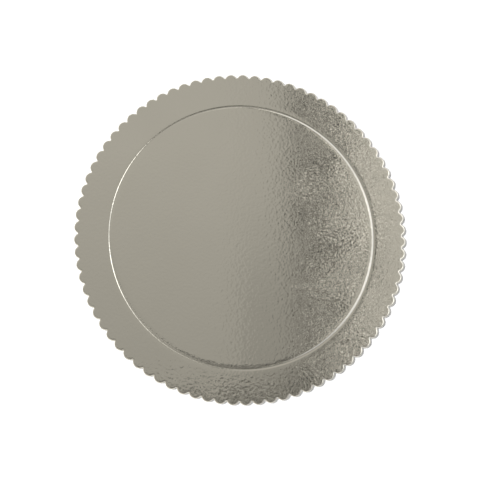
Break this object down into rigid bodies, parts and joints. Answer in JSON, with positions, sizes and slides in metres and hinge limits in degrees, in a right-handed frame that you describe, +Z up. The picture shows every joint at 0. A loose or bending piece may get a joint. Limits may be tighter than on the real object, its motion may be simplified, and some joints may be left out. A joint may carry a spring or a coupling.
{
  "type": "cake board",
  "caption": "Thin round cake board with a scalloped die-cut edge, a silver foil face and a shallow pressed ring.",
  "frame": {"origin": "centre of the underside", "axes": "+Z up through the foil face, +X through one notch of the edge, +Y through one scallop tip"},
  "size_m": [0.2998, 0.3, 0.003],
  "materials": {
    "foil_board": "silver foil laminated on greyboard, satin metallic face, bare board at the cut side and the underside"
  },
  "bodies": {
    "root": {"cake_board": "foil_board"}
  },
  "joints": []
}
